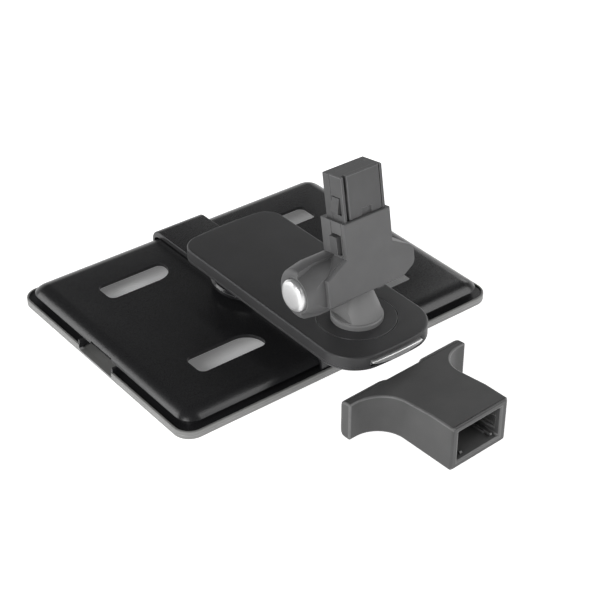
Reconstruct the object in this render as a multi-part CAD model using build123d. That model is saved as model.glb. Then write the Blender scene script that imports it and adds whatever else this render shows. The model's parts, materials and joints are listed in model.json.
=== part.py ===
from build123d import *
import math
import os

# Headrest tablet mount, lying on its screen side, in millimetres with +Z up.
# The origin is the middle of the tablet tray, at the level of its screen side.
# X runs along the tray's long side, Y along its short side.

# Clearances
RUN = 0.06  # radial, shaft in a running bore
SEAT = 0.05  # piece seated in its own body
AIR = 0.3  # between faces that move past each other
OVER = 1.0  # how far a cutting tool runs past the face it opens

# Tablet that the tray is made for
TABLET_L = 241.2
TABLET_W = 185.7
TABLET_AIR = 0.9

# Tray: bezel on the screen side, crowned shell behind
TRAY_BORDER = 3.5
TRAY_CORNER = 12.0
POCKET_CORNER = 9.0
BEZEL_LIP = 2.0
BEZEL_COVER = 6.0
BEZEL_TOP = 3.4
BEZEL_EDGE = 1.2
RIM_TOP = 5.8
RIM_EDGE = 0.6
RIM_LIP = 1.4
POCKET_TOP = 4.2
GROOVE_FLOOR = 5.0
GROOVE_TOP = 9.4
GROOVE_INSET = 8.5
GROOVE_WALL = 1.8
CROWN_INSET = 4.4
CROWN_R = 14.0
BACK_TOP = 14.5
BACK_WALL = 2.5
SLOT_L = 51.5
SLOT_W = 19.0
SLOT_X = 61.2
SLOT_Y = 51.5
SLOT_CORNER = 5.0
SLOT_ARC = 13.5
DOCK_Y = 3.0
DOCK_W = 38.0
DOCK_RIB = 1.2
PORT_W = 24.0
PORT_LOW = 5.4
PORT_HIGH = 10.4
KEYS_X = 77.5
KEYS_W = 39.0

# Strap over the tray's back, hooked round both long edges
STRAP_W = 39.0
STRAP_TOP = 19.0
STRAP_LEG = 2.2
STRAP_BEND = 9.0
STRAP_STEP_W = 1.5
STRAP_STEP_H = 0.9
STRAP_EDGE = 0.8

# Tray swivel
BASE_R = 30.0
BASE_H = 3.5
BASE_EDGE = 1.4
SWIVEL_R = 8.0
WASHER_R = 22.0
WASHER_T = 0.8
COLLAR_R = 25.0
NUT_ACROSS = 19.5
NUT_T = 2.4
PIN_HEAD_R = 13.0
PIN_HEAD_T = 2.5
PIN_TAIL = 3.3

# Arm
ARM_W = 76.0
ARM_FAR = 34.5
ARM_NEAR = -143.5
ARM_BULGE = 3.0
ARM_FAR_R = 14.0
ARM_NEAR_R = 24.0
ARM_BOTTOM = 34.0
ARM_SPLIT = 36.0
ARM_TOP = 44.0
ARM_WALL = 2.0
ARM_EDGE = 1.5
ARM_LOWER_EDGE = 0.8

# Release tab in the near end of the arm
TAB_W = 40.0
TAB_H = 4.5
TAB_PROUD = 1.5
TAB_ARC_R = 80.0
TAB_SHOULDER_W = 46.0
TAB_SHOULDER_L = 3.0
TAB_SLIDE_H = 3.0
TAB_WALL_GAP = 4.0
TAB_SPRING_X = 20.0
TAB_SPRING_R = 1.2
TAB_SPRING_SEAT = 8.0
TAB_SEAT_T = 2.0
TAB_SEAT_W = 6.0

# Turntable in the arm, with the neck on it
TURN_SETBACK = 38.5
TURN_R = 25.0
TURN_FLANGE_R = 27.0
TURN_FLANGE_T = 2.0
TURN_RING_OUT = 26.0
TURN_RING_IN = 18.0
TURN_WASHER_T = 0.3
SPIGOT_R = 10.0
RETAINER_R = 15.0
RETAINER_T = 1.5
TURN_SCREW_R = 6.5
TURN_SCREW_ANGLES = (90, 210, 330)
NECK_COLLAR_R = 16.5
NECK_COLLAR_H = 3.5
NECK_COLLAR_EDGE = 0.8
NECK_GROOVE = 0.6
NECK_FOOT_R = 15.9
NECK_HEAD_R = 8.5
NECK_CONE_H = 18.0
NECK_CHEEK = 24.0
KNUCKLE_R = 11.0
KNUCKLE_W = 22.8

# Tilting hub, drawn upright about its barrel's axis and then leaned back
TILT_Z = 77.5
TILT_BACK = 2.5
LEAN = 9.8
BARREL_W = 67.0
CAP_L = 12.5
BARREL_R = 16.0
CAP_R = 11.8
BACK_R = 17.6
BACK_CAP_R = 15.5
BACK_EDGE = 3.0
HUB_FRONT = 16.5
HUB_SEAM = 3.9
SEAM_GROOVE = 0.4
HUB_REAR = 5.5
COVER_T = 3.5
COVER_EDGE = 1.0
COVER_SEAM = 0.4
YOKE_BOTTOM = -9.0
YOKE_SHOULDER = 8.5
YOKE_TOP = 17.0
YOKE_CHAMFER_X = 10.0
YOKE_CHAMFER_Z = 6.0
YOKE_ROUND = 6.0
STEM_W = 35.4
STEM_TOP = 39.3
FRONT_SWING = 75.0
REAR_SWING = 100.0
FRICTION_T = 1.0
FRICTION_R = 10.5
SPINDLE_R = 4.0
SPINDLE_END = 1.0
HUB_SCREW_X = 24.0
HUB_SCREW_HIGH = 8.0
HUB_SCREW_LOW = -6.2

# Push button in the barrel's left end
BUTTON_R = 10.2
BUTTON_PROUD = 3.8
BUTTON_DOME = 3.0
BUTTON_FLANGE = 0.6
BUTTON_FLANGE_T = 2.0
BUTTON_LIP = 2.2
BUTTON_HOLLOW_R = 6.8
BUTTON_FACE_T = 3.6
BUTTON_FLOOR = 31.0
BUTTON_SPRING_R = 5.0

# Plug that goes into the headrest adapter
PLUG_W = 30.8
PLUG_FRONT = 14.7
PLUG_REAR = 2.4
PLUG_FOOT = 13.5
PLUG_TOP = 67.6
PLUG_EDGE = 0.5
PLATE_T = 3.0
POST_W = 1.8
GROOVE_LEFT = 2.2
GROOVE_RIGHT = 1.2
PLATE_TAB_W = 7.0
PLATE_TAB_H = 5.0
PLATE_TAB_DEPTH = 0.8
PLATE_TAB_X = 1.0

# Latches on both sides of the plug
LATCH_REAR = 4.2
LATCH_W = 6.6
LATCH_T = 2.2
LATCH_X = 10.5
LATCH_PIVOT = 17.0
LATCH_HEAD = 58.0
LATCH_PIN_R = 1.2
CHANNEL_WEB = 6.0
CHANNEL_WALL = 2.2
CHANNEL_TOP = 60.0
CHANNEL_FOOT = 14.2
BARB_LOW = 44.0
BARB_FLAT = 1.4
BARB_HIGH = 53.5
BARB_OUT = 17.2
PAD_LOW = 19.2
PAD_HIGH = 30.5
PAD_PROUD = 2.4
WINDOW_AIR = 0.9
WINDOW_FRONT = 1.4
LATCH_SPRING_Z = 40.0
LATCH_SPRING_R = 1.6
LATCH_SPRING_SEAT = 2.5

# Adapter that clips between a headrest's posts, lying loose beside the mount
ADAPTER_X = 5.3
ADAPTER_Y = -210.9
ADAPTER_TURN = 2.7
ADAPTER_L = 69.0
ADAPTER_W = 46.0
ADAPTER_H = 31.0
ADAPTER_WING_H = 25.5
ADAPTER_FLAT = 18.0
ADAPTER_SPAN = 97.0
ADAPTER_WING_T = 10.0
ADAPTER_TIP_R = 4.0
ADAPTER_BACK_R = 6.0
ADAPTER_HOLLOW_R = 20.0
ADAPTER_RECESS_W = 26.0
ADAPTER_RECESS = 5.0
ADAPTER_EDGE = 1.6
SOCKET_AIR = 0.4
SOCKET_DEPTH = 30.0
SOCKET_LEAD = 2.0
SOCKET_LEAD_L = 8.0
SOCKET_RIB_H = 2.0
SOCKET_CATCH = 2.4

# Screws and springs
SCREW_R = 1.5
SCREW_HEAD_R = 2.9
SCREW_HEAD_T = 1.2
SCREW_BOSS_R = 3.5
SCREW_BITE = 2.6
SPRING_WIRE = 0.4
SPRING_PITCH = 2.5
TRAY_SCREW_X = 14.0
TRAY_SCREW_Y = 14.0
ARM_SCREW_X = 28.0
ARM_SCREW_MID = -60.0
ARM_SCREW_FAR = 12.5
ARM_SCREW_NEAR = 21.5

# Derived sizes
POCKET_L = TABLET_L + 2 * TABLET_AIR
POCKET_W = TABLET_W + 2 * TABLET_AIR
TRAY_L = POCKET_L + 2 * TRAY_BORDER
TRAY_W = POCKET_W + 2 * TRAY_BORDER
TURN_Y = ARM_NEAR + TURN_SETBACK
TILT_Y = TURN_Y + TILT_BACK
BASE_TOP = STRAP_TOP + BASE_H
COLLAR_LOW = BASE_TOP + WASHER_T
TURN_FLANGE_TOP = ARM_TOP - ARM_WALL - AIR
TURN_FLANGE_LOW = TURN_FLANGE_TOP - TURN_FLANGE_T
TURN_RING_TOP = TURN_FLANGE_LOW - TURN_WASHER_T
SLOT_HALF = KNUCKLE_W / 2 + FRICTION_T + 2 * SEAT + AIR / 2
COVER_BACK = HUB_FRONT - COVER_T
BARREL_END = BARREL_W / 2 + CAP_L
PLATE_BACK = PLUG_FRONT - PLATE_T
LATCH_FRONT = LATCH_REAR + LATCH_W
CHANNEL_OUT = PLUG_W / 2 - CHANNEL_WALL
LATCH_MID = (LATCH_REAR + LATCH_FRONT) / 2
POST_IN = PLUG_W / 2 - POST_W
BARB_TIP = PLUG_W / 2 - AIR
PAD_OUT = STEM_W / 2 + PAD_PROUD
SOCKET_W = PLUG_W + 2 * SOCKET_AIR
SOCKET_H = PLUG_FRONT + PLUG_REAR + 2 * SOCKET_AIR
TRAY_SCREWS = [(x, y) for x in (-TRAY_SCREW_X, TRAY_SCREW_X) for y in (-TRAY_SCREW_Y, TRAY_SCREW_Y)]
ARM_SCREW_ROWS = (ARM_FAR - ARM_SCREW_FAR, ARM_SCREW_MID, ARM_NEAR + ARM_SCREW_NEAR)
ARM_SCREWS = [(x, y) for x in (-ARM_SCREW_X, ARM_SCREW_X) for y in ARM_SCREW_ROWS]
HUB_SCREWS = [(-HUB_SCREW_X, HUB_SCREW_LOW), (-HUB_SCREW_X, HUB_SCREW_HIGH), (HUB_SCREW_X, HUB_SCREW_HIGH)]
TURN_TURNS = [math.radians(a) for a in TURN_SCREW_ANGLES]
TURN_SCREWS = [(TURN_SCREW_R * math.cos(a), TURN_SCREW_R * math.sin(a)) for a in TURN_TURNS]


# Shared shapes
def span(x0, x1, y0, y1, z0, z1):
    """Box between two corners."""
    middle = Pos((x0 + x1) / 2, (y0 + y1) / 2, (z0 + z1) / 2)
    return middle * Box(x1 - x0, y1 - y0, z1 - z0)


def disc(radius, z0, z1, x=0.0, y=0.0):
    """Upright cylinder between two heights."""
    return Pos(x, y, (z0 + z1) / 2) * Cylinder(radius, z1 - z0)


def rod(radius, x0, x1):
    """Cylinder along X between two places."""
    return Pos((x0 + x1) / 2, 0, 0) * Rot(0, 90, 0) * Cylinder(radius, x1 - x0)


def rod_y(radius, y0, y1, x, z):
    """Cylinder along Y between two places."""
    return Pos(x, (y0 + y1) / 2, z) * Rot(90, 0, 0) * Cylinder(radius, y1 - y0)


def slab(length, width, corner, z0, z1):
    """Rounded rectangle about the origin, between two heights."""
    return Pos(0, 0, z0) * extrude(RectangleRounded(length, width, corner), z1 - z0)


def top_edges(shape):
    return shape.faces().sort_by(Axis.Z)[-1].edges()


def bottom_edges(shape):
    return shape.faces().sort_by(Axis.Z)[0].edges()


def spring(radius, length):
    """Coil along +Z, from the origin up."""
    path = Helix(SPRING_PITCH, length, radius)
    section = Plane(origin=path @ 0, z_dir=path % 0) * Rectangle(2 * SPRING_WIRE, 2 * SPRING_WIRE)
    return sweep(section, path=path, is_frenet=True)


def screw(head_z, tip_z, x, y):
    """Screw along Z, its head at head_z and its shank running to tip_z."""
    up = 1 if tip_z > head_z else -1
    neck_z = head_z + up * SCREW_HEAD_T
    head = disc(SCREW_HEAD_R, min(head_z, neck_z), max(head_z, neck_z), x, y)
    return head + disc(SCREW_R, min(neck_z, tip_z), max(neck_z, tip_z), x, y)


def lean(shape):
    """Puts a piece of the upright hub on its barrel's axis, leaned back."""
    return Pos(0, TILT_Y, TILT_Z) * Rot(-LEAN, 0, 0) * shape


def both_sides(shape):
    """A piece and its mirror image across the middle plane."""
    return shape + mirror(shape, about=Plane.YZ)


# Tray
def crown(inset, height):
    """Block with a quarter-round crown, drawn in from the tray's outline."""
    radius = CROWN_R - (BACK_TOP - height)
    centre_z = height - radius
    edge = CROWN_R - math.sqrt(CROWN_R**2 - (GROOVE_TOP - BACK_TOP + CROWN_R) ** 2)
    draw_in = 2 * (CROWN_INSET - edge + inset)
    block = slab(TRAY_L - draw_in, TRAY_W - draw_in, radius + RIM_EDGE, centre_z - OVER, height)
    return fillet(top_edges(block), radius)


def tray_slots():
    """The four hand slots, each with one large corner towards the middle."""
    outline = Pos(SLOT_X, SLOT_Y) * Rectangle(SLOT_L, SLOT_W)
    inner = outline.vertices().sort_by(Axis.X)[:2].sort_by(Axis.Y)[0]
    outline = fillet(inner, SLOT_ARC)
    sharp = [v for v in outline.vertices() if abs(abs(v.X - SLOT_X) - SLOT_L / 2) < SEAT
             and abs(abs(v.Y - SLOT_Y) - SLOT_W / 2) < SEAT]
    outline = fillet(sharp, SLOT_CORNER)
    one = Pos(0, 0, GROOVE_TOP) * extrude(outline, BACK_TOP - GROOVE_TOP + OVER)
    pair = both_sides(one)
    return pair + mirror(pair, about=Plane.XZ)


def tray_shell():
    rim = slab(TRAY_L, TRAY_W, TRAY_CORNER, BEZEL_TOP, RIM_TOP)
    rim = fillet(top_edges(rim), RIM_EDGE)
    lip_in = 2 * RIM_LIP
    rim -= slab(TRAY_L - lip_in, TRAY_W - lip_in, TRAY_CORNER - RIM_LIP, GROOVE_FLOOR, RIM_TOP + OVER)
    wall_l = TRAY_L - 2 * GROOVE_INSET
    wall_w = TRAY_W - 2 * GROOVE_INSET
    wall_r = CROWN_R - GROOVE_INSET
    back = split(crown(0, BACK_TOP), Plane.XY.offset(GROOVE_TOP), keep=Keep.TOP)
    shell = rim + slab(wall_l, wall_w, wall_r, BEZEL_TOP, GROOVE_TOP + SEAT) + back
    # Ribs beside the dock notch join the shell's edge to the rim
    end_x = -TRAY_L / 2
    for side in (-1, 1):
        rib_y = DOCK_Y + side * (DOCK_W + DOCK_RIB) / 2
        shell += span(end_x + RIM_EDGE, end_x + GROOVE_INSET, rib_y - DOCK_RIB / 2, rib_y + DOCK_RIB / 2,
                      BEZEL_TOP, GROOVE_TOP)
    # Room for the tablet
    room_l = wall_l - 2 * GROOVE_WALL
    room_w = wall_w - 2 * GROOVE_WALL
    room = slab(room_l, room_w, wall_r - GROOVE_WALL, BEZEL_LIP, BACK_TOP - BACK_WALL)
    room = room & crown(BACK_WALL, BACK_TOP - BACK_WALL)
    shell -= room
    shell -= slab(room_l, room_w, wall_r - GROOVE_WALL, BEZEL_LIP, POCKET_TOP + OVER)
    shell -= slab(POCKET_L, POCKET_W, POCKET_CORNER, BEZEL_LIP, POCKET_TOP)
    shell -= tray_slots()
    # Dock notch with its port, and the notch over the tablet's side keys
    shell -= span(end_x - OVER, end_x + GROOVE_INSET, DOCK_Y - DOCK_W / 2, DOCK_Y + DOCK_W / 2,
                  BEZEL_LIP, RIM_TOP + OVER)
    shell -= span(end_x - OVER, end_x + 3 * GROOVE_INSET, DOCK_Y - PORT_W / 2, DOCK_Y + PORT_W / 2,
                  PORT_LOW, PORT_HIGH)
    shell -= span(KEYS_X - KEYS_W / 2, KEYS_X + KEYS_W / 2, TRAY_W / 2 - GROOVE_INSET, TRAY_W / 2 + OVER,
                  BEZEL_LIP, RIM_TOP + OVER)
    for x, y in TRAY_SCREWS:
        shell -= disc(SCREW_R + SEAT, BEZEL_TOP, BACK_TOP + OVER, x, y)
        shell -= disc(SCREW_HEAD_R + SEAT, BEZEL_TOP, BACK_TOP - BACK_WALL + SCREW_HEAD_T, x, y)
    return shell


def tray_bezel():
    bezel = slab(TRAY_L, TRAY_W, TRAY_CORNER, 0, BEZEL_TOP)
    bezel = fillet(bottom_edges(bezel), BEZEL_EDGE)
    window_l = TABLET_L - 2 * BEZEL_COVER
    window_w = TABLET_W - 2 * BEZEL_COVER
    bezel -= slab(window_l, window_w, POCKET_CORNER - BEZEL_LIP, -OVER, BEZEL_TOP)
    bezel -= slab(POCKET_L, POCKET_W, POCKET_CORNER, BEZEL_LIP, BEZEL_TOP + OVER)
    bezel -= span(-TRAY_L / 2 - OVER, -POCKET_L / 2 + OVER, DOCK_Y - DOCK_W / 2, DOCK_Y + DOCK_W / 2,
                  BEZEL_LIP, BEZEL_TOP + OVER)
    return bezel


def back_strap():
    leg_in = TRAY_W / 2 - CROWN_INSET + AIR
    leg_out = leg_in + STRAP_LEG
    foot = RIM_TOP + AIR
    outer = Pos(0, (STRAP_TOP + foot) / 2) * Rectangle(2 * leg_out, STRAP_TOP - foot)
    outer = fillet(outer.vertices().sort_by(Axis.Y)[-2:], STRAP_BEND)
    inner = Pos(0, (BACK_TOP + foot - OVER) / 2) * Rectangle(2 * leg_in, BACK_TOP - foot + OVER)
    inner = fillet(inner.vertices().sort_by(Axis.Y)[-2:], STRAP_BEND - STRAP_LEG - OVER)
    strap = extrude(Plane.YZ * (outer - inner), STRAP_W / 2, both=True)
    # A step along both lower sides leaves a shadow line above the tray
    flat = leg_in - STRAP_BEND
    step = span(STRAP_W / 2 - STRAP_STEP_W, STRAP_W / 2 + OVER, -flat, flat,
                BACK_TOP - OVER, BACK_TOP + STRAP_STEP_H)
    strap -= both_sides(step)
    strap = fillet(top_edges(strap).filter_by(Axis.Y), STRAP_EDGE)
    strap -= disc(NUT_ACROSS / math.sqrt(3) + OVER, BACK_TOP - OVER, STRAP_TOP + OVER)
    for x, y in TRAY_SCREWS:
        strap -= disc(SCREW_R + SEAT, BACK_TOP - OVER, STRAP_TOP + OVER, x, y)
    return strap


# Tray swivel
def swivel_base():
    base = disc(BASE_R, STRAP_TOP, BASE_TOP)
    base = chamfer(top_edges(base), BASE_EDGE)
    base -= disc(SWIVEL_R + RUN, STRAP_TOP - OVER, BASE_TOP + OVER)
    for x, y in TRAY_SCREWS:
        base -= disc(SCREW_R + SEAT, STRAP_TOP - OVER, STRAP_TOP + SCREW_BITE, x, y)
    return base


def tray_screws():
    head_z = BACK_TOP - BACK_WALL
    tip_z = STRAP_TOP + SCREW_BITE - SEAT
    return Compound([screw(head_z, tip_z, x, y) for x, y in TRAY_SCREWS])


def swivel_washer():
    return disc(WASHER_R, BASE_TOP, COLLAR_LOW) - disc(SWIVEL_R + SEAT, BASE_TOP - OVER, COLLAR_LOW + OVER)


def swivel_pin():
    shank = disc(SWIVEL_R, STRAP_TOP - PIN_TAIL, ARM_SPLIT)
    head = disc(PIN_HEAD_R, ARM_SPLIT, ARM_SPLIT + PIN_HEAD_T)
    return shank + chamfer(top_edges(head), STRAP_EDGE)


def swivel_nut():
    top = STRAP_TOP - AIR
    outline = RegularPolygon(NUT_ACROSS / 2, 6, major_radius=False)
    nut = Pos(0, 0, top - NUT_T) * extrude(outline, NUT_T)
    return nut - disc(SWIVEL_R + SEAT, top - NUT_T - OVER, top + OVER)


# Arm
def arm_outline(inset):
    """Plan of the arm, drawn in by inset: bowed ends and unequal corners."""
    side = ARM_W / 2 - inset
    far = ARM_FAR - inset
    near = ARM_NEAR + inset
    far_end = ThreePointArc((-side, far - ARM_BULGE), (0, far), (side, far - ARM_BULGE))
    right = Line((side, far - ARM_BULGE), (side, near + ARM_BULGE))
    near_end = ThreePointArc((side, near + ARM_BULGE), (0, near), (-side, near + ARM_BULGE))
    left = Line((-side, near + ARM_BULGE), (-side, far - ARM_BULGE))
    plan = make_face([far_end, right, near_end, left])
    plan = fillet(plan.vertices().sort_by(Axis.Y)[-2:], ARM_FAR_R - inset)
    return fillet(plan.vertices().sort_by(Axis.Y)[:2], ARM_NEAR_R - inset)


def arm_solid(inset, z0, z1):
    return Pos(0, 0, z0) * extrude(arm_outline(inset), z1 - z0)


def arm_cover():
    cover = fillet(top_edges(arm_solid(0, ARM_SPLIT, ARM_TOP)), ARM_EDGE)
    cover -= arm_solid(ARM_WALL, ARM_SPLIT - OVER, ARM_TOP - ARM_WALL)
    cover -= disc(TURN_R + AIR, ARM_SPLIT, ARM_TOP + OVER, 0, TURN_Y)
    cover -= span(-TAB_W / 2, TAB_W / 2, ARM_NEAR - OVER, ARM_NEAR + 2 * ARM_WALL,
                  ARM_SPLIT - OVER, ARM_SPLIT + TAB_H)
    for x, y in ARM_SCREWS:
        cover += disc(SCREW_BOSS_R, ARM_SPLIT, ARM_TOP - ARM_WALL, x, y)
        cover -= disc(SCREW_R + SEAT, ARM_SPLIT - OVER, ARM_SPLIT + SCREW_BITE, x, y)
    return cover


def arm_base():
    base = arm_solid(0, ARM_BOTTOM, ARM_SPLIT)
    base = chamfer(bottom_edges(base), ARM_LOWER_EDGE)
    base += disc(COLLAR_R, COLLAR_LOW, ARM_BOTTOM)
    # Ring that the turntable's flange runs on, and the seats of the tab's springs
    base += disc(TURN_RING_OUT, ARM_SPLIT, TURN_RING_TOP, 0, TURN_Y)
    seat_y = ARM_NEAR + ARM_WALL + TAB_WALL_GAP + TAB_SHOULDER_L + TAB_SPRING_SEAT
    seat_x = TAB_SPRING_X + TAB_SEAT_W / 2
    seat = span(seat_x - TAB_SEAT_W, seat_x, seat_y, seat_y + TAB_SEAT_T, ARM_SPLIT, TURN_RING_TOP)
    base += both_sides(seat)
    base -= disc(TURN_RING_IN, ARM_SPLIT, TURN_RING_TOP + OVER, 0, TURN_Y)
    base -= disc(SWIVEL_R + SEAT, COLLAR_LOW - OVER, ARM_SPLIT + OVER)
    for x, y in ARM_SCREWS:
        base -= disc(SCREW_R + SEAT, ARM_BOTTOM - OVER, ARM_SPLIT + OVER, x, y)
        base -= disc(SCREW_HEAD_R + SEAT, ARM_BOTTOM - OVER, ARM_BOTTOM + SCREW_HEAD_T, x, y)
    return base


def arm_screws():
    tip_z = ARM_SPLIT + SCREW_BITE - SEAT
    return Compound([screw(ARM_BOTTOM, tip_z, x, y) for x, y in ARM_SCREWS])


def release_tab():
    low = ARM_SPLIT + AIR
    high = ARM_SPLIT + TAB_H - AIR
    half = TAB_W / 2 - AIR
    face = arm_solid(-TAB_PROUD, low, high)
    face -= arm_solid(ARM_WALL + TAB_WALL_GAP / 2, low - OVER, high + OVER)
    face = face & span(-half, half, ARM_NEAR - 2 * TAB_PROUD, ARM_NEAR + 3 * ARM_WALL, low, high)
    # The lower edge is bowed like a smile
    face = face & rod_y(TAB_ARC_R, ARM_NEAR - 2 * TAB_PROUD, ARM_NEAR + 3 * ARM_WALL, 0, low + TAB_ARC_R)
    front = ARM_NEAR + ARM_WALL
    shoulder = front + TAB_WALL_GAP
    slide = span(-half, half, front, shoulder + SEAT, low, low + TAB_SLIDE_H)
    slide += span(-TAB_SHOULDER_W / 2, TAB_SHOULDER_W / 2, shoulder, shoulder + TAB_SHOULDER_L,
                  low, low + TAB_SLIDE_H)
    return face + slide


def tab_springs():
    start = ARM_NEAR + ARM_WALL + TAB_WALL_GAP + TAB_SHOULDER_L + SPRING_WIRE
    coil = spring(TAB_SPRING_R, TAB_SPRING_SEAT - 2 * SPRING_WIRE)
    height = ARM_SPLIT + AIR + TAB_SLIDE_H / 2 + SPRING_WIRE
    coils = [Pos(x, start, height) * Rot(-90, 0, 0) * coil for x in (-TAB_SPRING_X, TAB_SPRING_X)]
    return Compound(coils)


# Turntable and neck
def at_turntable(shape):
    return Pos(0, TURN_Y, 0) * shape


def turntable_washer():
    ring = disc(TURN_RING_OUT - AIR, TURN_RING_TOP, TURN_FLANGE_LOW)
    return at_turntable(ring - disc(TURN_RING_IN + AIR, TURN_RING_TOP - OVER, TURN_FLANGE_LOW + OVER))


def turntable_disc():
    plate = disc(TURN_R, TURN_FLANGE_TOP, ARM_TOP) + disc(TURN_FLANGE_R, TURN_FLANGE_LOW, TURN_FLANGE_TOP)
    return at_turntable(plate - disc(SPIGOT_R + SEAT, TURN_FLANGE_LOW - OVER, ARM_TOP + OVER))


def turntable_retainer():
    low = TURN_FLANGE_LOW - RETAINER_T
    plate = disc(RETAINER_R, low, TURN_FLANGE_LOW)
    for x, y in TURN_SCREWS:
        plate -= disc(SCREW_R + SEAT, low - OVER, TURN_FLANGE_LOW + OVER, x, y)
    return at_turntable(plate)


def turntable_screws():
    head_z = TURN_FLANGE_LOW - RETAINER_T - SCREW_HEAD_T
    tip_z = ARM_TOP + SCREW_BITE - SEAT
    return at_turntable(Compound([screw(head_z, tip_z, x, y) for x, y in TURN_SCREWS]))


def neck():
    collar_top = ARM_TOP + NECK_COLLAR_H
    collar = chamfer(top_edges(disc(NECK_COLLAR_R, ARM_TOP, collar_top)), NECK_COLLAR_EDGE)
    spigot = disc(SPIGOT_R, TURN_FLANGE_LOW, ARM_TOP)
    foot = collar_top + NECK_GROOVE
    groove = disc(NECK_FOOT_R - NECK_GROOVE, collar_top, foot)
    cone = Pos(0, 0, foot + NECK_CONE_H / 2) * Cone(NECK_FOOT_R, NECK_HEAD_R, NECK_CONE_H)
    cheeks = span(-NECK_CHEEK / 2, NECK_CHEEK / 2, -NECK_FOOT_R, NECK_FOOT_R, foot, foot + NECK_CONE_H)
    stem = (cone & cheeks) + disc(NECK_HEAD_R, foot + NECK_CONE_H, TILT_Z, 0, TILT_BACK)
    axle = Pos(0, TILT_BACK, TILT_Z)
    knuckle = axle * rod(KNUCKLE_R, -KNUCKLE_W / 2, KNUCKLE_W / 2)
    body = collar + spigot + groove + stem + knuckle
    body -= axle * rod(SPINDLE_R + RUN, -KNUCKLE_W, KNUCKLE_W)
    for x, y in TURN_SCREWS:
        body -= disc(SCREW_R + SEAT, TURN_FLANGE_LOW - OVER, ARM_TOP + SCREW_BITE, x, y)
    return at_turntable(body)


# Hub, drawn upright with its front towards -Y
def yoke_outline():
    """Front outline of the hub: stem, sloping shoulders and one cut lower corner."""
    half = BARREL_W / 2
    stem = STEM_W / 2
    right = [(half - YOKE_CHAMFER_X, YOKE_BOTTOM), (half, YOKE_BOTTOM + YOKE_CHAMFER_Z),
             (half, YOKE_SHOULDER), (stem, YOKE_TOP), (stem, STEM_TOP)]
    left = [(-stem, STEM_TOP), (-stem, YOKE_TOP), (-half, YOKE_SHOULDER), (-half, YOKE_BOTTOM)]
    outline = make_face(Polyline(*right, *left, close=True))
    end = outline.vertices().sort_by(Axis.X)[-2:]
    return fillet(end, YOKE_ROUND)


def yoke(front, rear):
    """The hub's outline between two places, measured forward from the barrel's axis."""
    return Pos(0, -rear, 0) * extrude(Plane.XZ * yoke_outline(), front - rear)


def neck_slot(half):
    """Room for the neck and its swing, under the barrel's axis."""
    front = math.radians(FRONT_SWING)
    rear = math.radians(REAR_SWING)
    reach = 3 * BACK_R
    wedge = Polyline((0, 0), (-reach * math.sin(front), -reach * math.cos(front)), (-reach, -reach),
                     (reach, -reach), (reach * math.sin(rear), -reach * math.cos(rear)), close=True)
    cut = extrude(Plane.YZ * make_face(wedge), half, both=True)
    return cut + rod(KNUCKLE_R + AIR, -half, half)


def screw_y(x, z):
    """Hub screw along Y, its head at the back."""
    length = COVER_BACK + SCREW_BITE + HUB_REAR + OVER
    upright = screw(0, length - SEAT, 0, 0)
    return Pos(x, HUB_REAR + OVER, z) * Rot(90, 0, 0) * upright


def hub_cover():
    cover = yoke(HUB_FRONT, COVER_BACK)
    front = cover.faces().sort_by(Axis.Y)[0].edges()
    cover = fillet(front, COVER_EDGE)
    cover = chamfer(cover.faces().sort_by(Axis.Y)[-1].edges(), COVER_SEAM)
    for x, z in HUB_SCREWS:
        cover -= rod_y(SCREW_R + SEAT, -COVER_BACK - SCREW_BITE, -COVER_BACK + OVER, x, z)
    return lean(cover)


def hub_barrel(radius, end_radius):
    """Barrel with a tapered left end, as far as the stem's right side."""
    half = BARREL_W / 2
    cap = Pos(-half - CAP_L / 2, 0, 0) * Rot(0, -90, 0) * Cone(radius, end_radius, CAP_L)
    return rod(radius, -half, STEM_W / 2) + cap


def hub_cuts():
    """Everything that is hollow in the hub's two halves."""
    cuts = neck_slot(SLOT_HALF)
    # Bores of the spindle and the push button
    cuts += rod(SPINDLE_R + SEAT, -BUTTON_FLOOR, BUTTON_FLOOR)
    cuts += rod(BUTTON_R + BUTTON_FLANGE + AIR, BUTTON_LIP - BARREL_END, -BUTTON_FLOOR)
    cuts += rod(BUTTON_R + AIR, -BARREL_END - OVER, -BUTTON_FLOOR)
    # Pocket of the plug, open to the front and the top, and the windows of the latch pads
    side = PLUG_W / 2 + SEAT
    cuts += span(-side, side, -HUB_FRONT, PLUG_REAR + SEAT, PLUG_FOOT - SEAT, STEM_TOP + OVER)
    cuts += both_sides(latch_window(PAD_LOW, PAD_HIGH, STEM_W / 2 + OVER))
    for x, z in HUB_SCREWS:
        cuts += rod_y(SCREW_R + SEAT, -HUB_FRONT, BACK_R, x, z)
        cuts += rod_y(SCREW_HEAD_R + SEAT, HUB_REAR + OVER - SCREW_HEAD_T, BACK_R + OVER, x, z)
    return cuts


def seam_groove(side, low, high):
    """Fine groove where two halves meet on the narrow sides."""
    inner = side - SEAM_GROOVE
    rear = SEAM_GROOVE - HUB_SEAM
    return both_sides(span(inner, side + OVER, -HUB_SEAM, rear, low, high + OVER))


def hub_housing():
    reach = BARREL_END + OVER
    front = span(-reach, reach, -COVER_BACK, -HUB_SEAM, -BACK_R, BACK_R)
    body = (hub_barrel(BARREL_R, CAP_R) & front) + yoke(COVER_BACK, HUB_SEAM)
    return lean(body - hub_cuts())


def hub_back():
    reach = BARREL_END + OVER
    rear = span(-reach, reach, -HUB_SEAM, BACK_R + OVER, -BACK_R, BACK_R)
    barrel = hub_barrel(BACK_R, BACK_CAP_R)
    end = barrel.faces().sort_by(Axis.X)[0].edges()
    body = (fillet(end, BACK_EDGE) & rear) + yoke(HUB_SEAM, -HUB_REAR)
    return lean(body - hub_cuts() - seam_groove(STEM_W / 2, YOKE_TOP, STEM_TOP))


def hub_screws():
    return lean(Compound([screw_y(x, z) for x, z in HUB_SCREWS]))


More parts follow.
